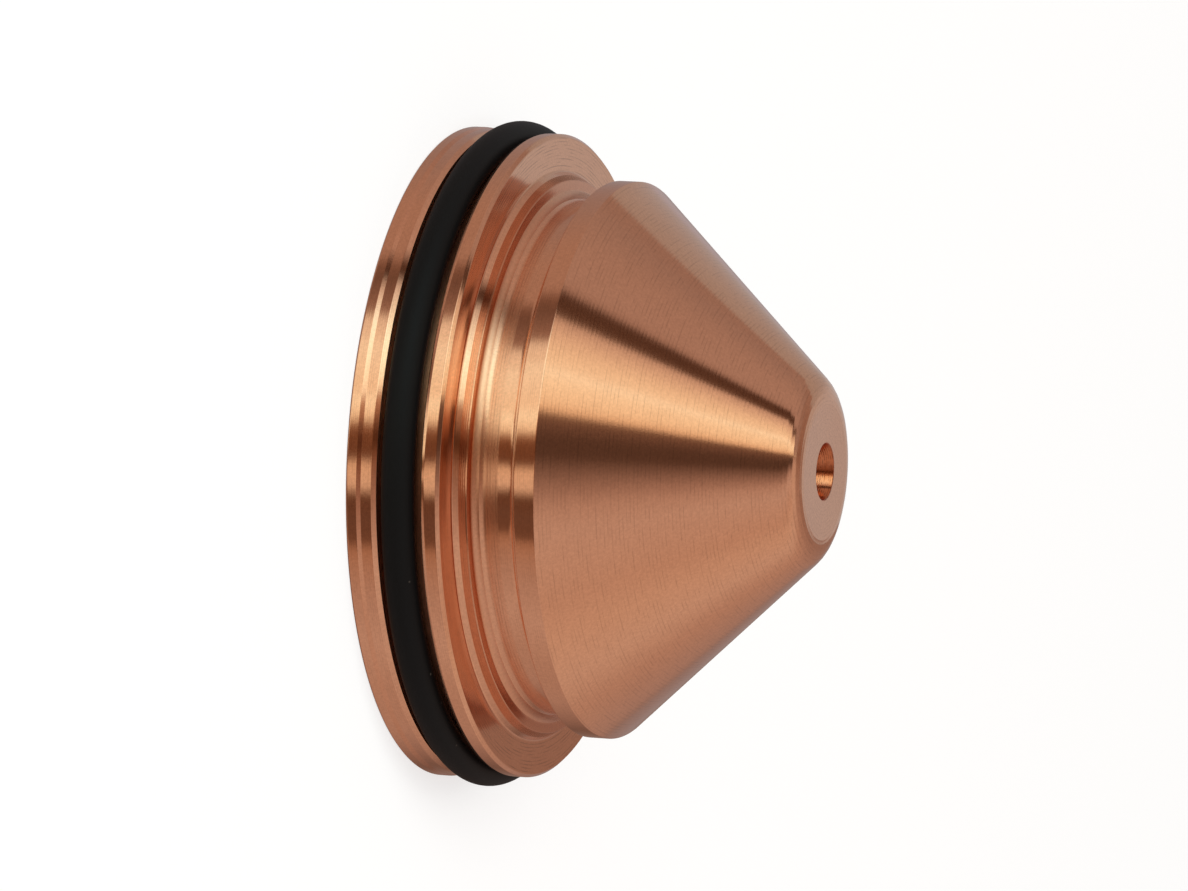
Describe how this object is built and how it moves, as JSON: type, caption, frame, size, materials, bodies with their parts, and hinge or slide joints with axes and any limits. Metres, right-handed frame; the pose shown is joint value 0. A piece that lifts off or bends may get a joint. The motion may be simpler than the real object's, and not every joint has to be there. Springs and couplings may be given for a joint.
{
  "type": "plasma torch shield cap",
  "caption": "Turned copper shield cap for a plasma cutting torch: sealed flange, grooved neck and a blunt cone with a central orifice.",
  "frame": {"origin": "centre of the rear face of the flange, which the cap stands on", "axes": "+Z along the turning axis from the rear face to the nose; X and Y are alike, because the cap is round"},
  "size_m": [0.0368, 0.0368, 0.0212],
  "materials": {
    "turned_copper": "fine turned, semi-bright bare copper",
    "black_rubber": "matte black moulded rubber"
  },
  "bodies": {
    "root": {"shield_body": "turned_copper", "o_ring": "black_rubber"}
  },
  "joints": []
}
